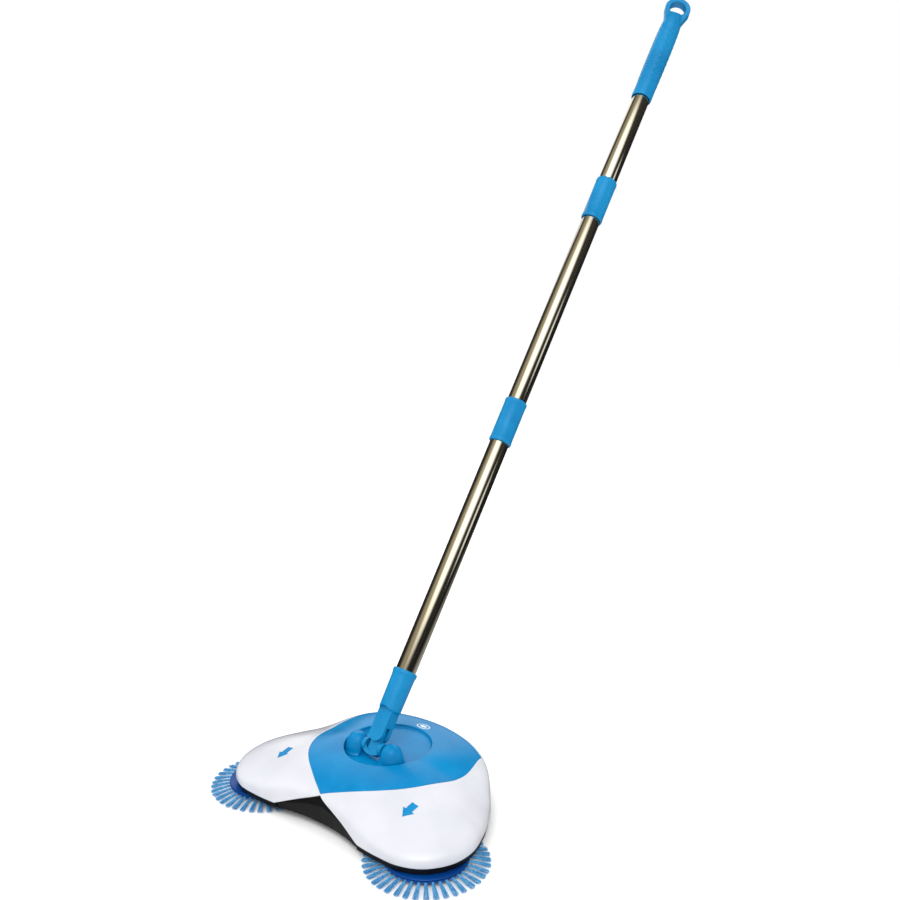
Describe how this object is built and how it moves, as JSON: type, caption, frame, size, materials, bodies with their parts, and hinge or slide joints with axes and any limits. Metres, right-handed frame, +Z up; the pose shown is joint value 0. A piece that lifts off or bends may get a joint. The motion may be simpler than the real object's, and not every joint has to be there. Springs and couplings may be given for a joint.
{
  "type": "carpet sweeper",
  "caption": "Push-along floor sweeper with geared side brushes, a roller brush, a dust drawer and a screw-together handle on a two-way joint.",
  "frame": {"origin": "on the floor, at the middle of the bottom of the bounding box", "axes": "+Z up; the head drives towards -Y, the handle leans back towards +Y, and +X is on the right of someone standing in front and looking at the head"},
  "size_m": [0.35, 0.7082, 0.8849],
  "materials": {
    "white": "gloss",
    "blue": "satin",
    "deep_blue": "satin",
    "bristle": "translucent filament",
    "black": "satin",
    "smoke": "satin",
    "steel": "polished stainless",
    "zinc": "plated",
    "rubber": "moulded",
    "natural": "natural acetal"
  },
  "bodies": {
    "head": {"top_shell": "white", "centre_cover": "blue", "base_plate": "black", "roller_hood": "smoke", "tilt_pin_right": "zinc", "tilt_pin_left": "zinc", "case_screw_1_right": "zinc", "case_screw_1_left": "zinc", "case_screw_2_right": "zinc", "case_screw_2_left": "zinc", "wheel_axle_right": "zinc", "wheel_axle_left": "zinc", "axle_clip_right": "zinc", "axle_clip_left": "zinc", "spindle_bush_right": "natural", "spindle_bush_left": "natural", "roller_bush_right": "natural", "roller_bush_left": "natural", "rear_roller_pin_right": "zinc", "rear_roller_pin_left": "zinc"},
    "dust_drawer": {"dust_drawer": "smoke"},
    "drawer_latch": {"drawer_latch": "blue"},
    "roller_brush": {"roller_core": "blue", "roller_bristles": "bristle", "roller_gear": "natural"},
    "roller_idler": {"roller_idler": "natural"},
    "yoke": {"joint_yoke": "blue"},
    "handle": {"handle_socket": "blue", "swing_pin": "zinc", "lower_tube": "steel", "middle_tube": "steel", "upper_tube": "steel", "lower_connector": "blue", "upper_connector": "blue", "grip": "blue"},
    "wheel_right": {"wheel_hub_right": "natural", "wheel_tyre_right": "rubber"},
    "pinion_right": {"drive_pinion_right": "natural"},
    "inner_idler_right": {"inner_idler_right": "natural"},
    "outer_idler_right": {"outer_idler_right": "natural"},
    "side_brush_right": {"side_brush_hub_right": "deep_blue", "side_brush_bristles_right": "bristle", "spindle_gear_right": "natural", "spindle_screw_right": "zinc"},
    "rear_roller_right": {"rear_roller_right": "black"},
    "wheel_left": {"wheel_hub_left": "natural", "wheel_tyre_left": "rubber"},
    "pinion_left": {"drive_pinion_left": "natural"},
    "inner_idler_left": {"inner_idler_left": "natural"},
    "outer_idler_left": {"outer_idler_left": "natural"},
    "side_brush_left": {"side_brush_hub_left": "deep_blue", "side_brush_bristles_left": "bristle", "spindle_gear_left": "natural", "spindle_screw_left": "zinc"},
    "rear_roller_left": {"rear_roller_left": "black"}
  },
  "joints": [
    {"name": "handle_tilt", "type": "hinge", "parent": "head", "child": "yoke", "pos_m": [0, -0.24405, 0.061], "axis": [-1, 0, 0], "range_deg": [-37.5, 44]},
    {"name": "handle_swing", "type": "hinge", "parent": "yoke", "child": "handle", "pos_m": [0, -0.23586, 0.07236], "axis": [0, 0.8111, -0.585], "range_deg": [-50, 50]},
    {"name": "drawer_slide", "type": "slide", "parent": "head", "child": "dust_drawer", "axis": [0, 1, 0], "range_m": [0, 0.075]},
    {"name": "latch_press", "type": "slide", "parent": "dust_drawer", "child": "drawer_latch", "axis": [0, -1, 0], "range_m": [0, 0.002], "stiffness_N_per_m": 800, "springref_m": -0.001},
    {"name": "roller_idler_spin", "type": "hinge", "parent": "head", "child": "roller_idler", "pos_m": [-0.0548, -0.25204, 0.01947], "axis": [1, 0, 0], "continuous": true},
    {"name": "roller_spin", "type": "hinge", "parent": "head", "child": "roller_brush", "pos_m": [0, -0.26955, 0.019], "axis": [1, 0, 0], "continuous": true},
    {"name": "wheel_right_spin", "type": "hinge", "parent": "head", "child": "wheel_right", "pos_m": [0.062, -0.23205, 0.02], "axis": [1, 0, 0], "continuous": true},
    {"name": "pinion_right_spin", "type": "hinge", "parent": "head", "child": "pinion_right", "pos_m": [0.077, -0.23205, 0.017], "axis": [0, 0, 1], "continuous": true},
    {"name": "inner_idler_right_spin", "type": "hinge", "parent": "head", "child": "inner_idler_right", "pos_m": [0.08678, -0.24834, 0.017], "axis": [0, 0, 1], "continuous": true},
    {"name": "outer_idler_right_spin", "type": "hinge", "parent": "head", "child": "outer_idler_right", "pos_m": [0.09706, -0.26549, 0.017], "axis": [0, 0, 1], "continuous": true},
    {"name": "side_brush_right_spin", "type": "hinge", "parent": "head", "child": "side_brush_right", "pos_m": [0.113, -0.29205, 0.017], "axis": [0, 0, 1], "continuous": true},
    {"name": "rear_roller_right_spin", "type": "hinge", "parent": "head", "child": "rear_roller_right", "pos_m": [0.084, -0.18405, 0.007], "axis": [1, 0, 0], "continuous": true},
    {"name": "wheel_left_spin", "type": "hinge", "parent": "head", "child": "wheel_left", "pos_m": [-0.062, -0.23205, 0.02], "axis": [1, 0, 0], "continuous": true},
    {"name": "pinion_left_spin", "type": "hinge", "parent": "head", "child": "pinion_left", "pos_m": [-0.077, -0.23205, 0.017], "axis": [0, 0, 1], "continuous": true},
    {"name": "inner_idler_left_spin", "type": "hinge", "parent": "head", "child": "inner_idler_left", "pos_m": [-0.08678, -0.24834, 0.017], "axis": [0, 0, 1], "continuous": true},
    {"name": "outer_idler_left_spin", "type": "hinge", "parent": "head", "child": "outer_idler_left", "pos_m": [-0.09706, -0.26549, 0.017], "axis": [0, 0, 1], "continuous": true},
    {"name": "side_brush_left_spin", "type": "hinge", "parent": "head", "child": "side_brush_left", "pos_m": [-0.113, -0.29205, 0.017], "axis": [0, 0, 1], "continuous": true},
    {"name": "rear_roller_left_spin", "type": "hinge", "parent": "head", "child": "rear_roller_left", "pos_m": [-0.084, -0.18405, 0.007], "axis": [1, 0, 0], "continuous": true}
  ],
  "couplings": [
    {"joint": "roller_idler_spin", "follows": "wheel_left_spin", "ratio": -1.6667},
    {"joint": "roller_spin", "follows": "wheel_left_spin", "ratio": 1.25},
    {"joint": "pinion_right_spin", "follows": "wheel_right_spin", "ratio": 1.6667},
    {"joint": "inner_idler_right_spin", "follows": "wheel_right_spin", "ratio": -1.5},
    {"joint": "outer_idler_right_spin", "follows": "wheel_right_spin", "ratio": 1.5},
    {"joint": "side_brush_right_spin", "follows": "wheel_right_spin", "ratio": -0.71429},
    {"joint": "pinion_left_spin", "follows": "wheel_left_spin", "ratio": -1.6667},
    {"joint": "inner_idler_left_spin", "follows": "wheel_left_spin", "ratio": 1.5},
    {"joint": "outer_idler_left_spin", "follows": "wheel_left_spin", "ratio": -1.5},
    {"joint": "side_brush_left_spin", "follows": "wheel_left_spin", "ratio": 0.71429}
  ]
}
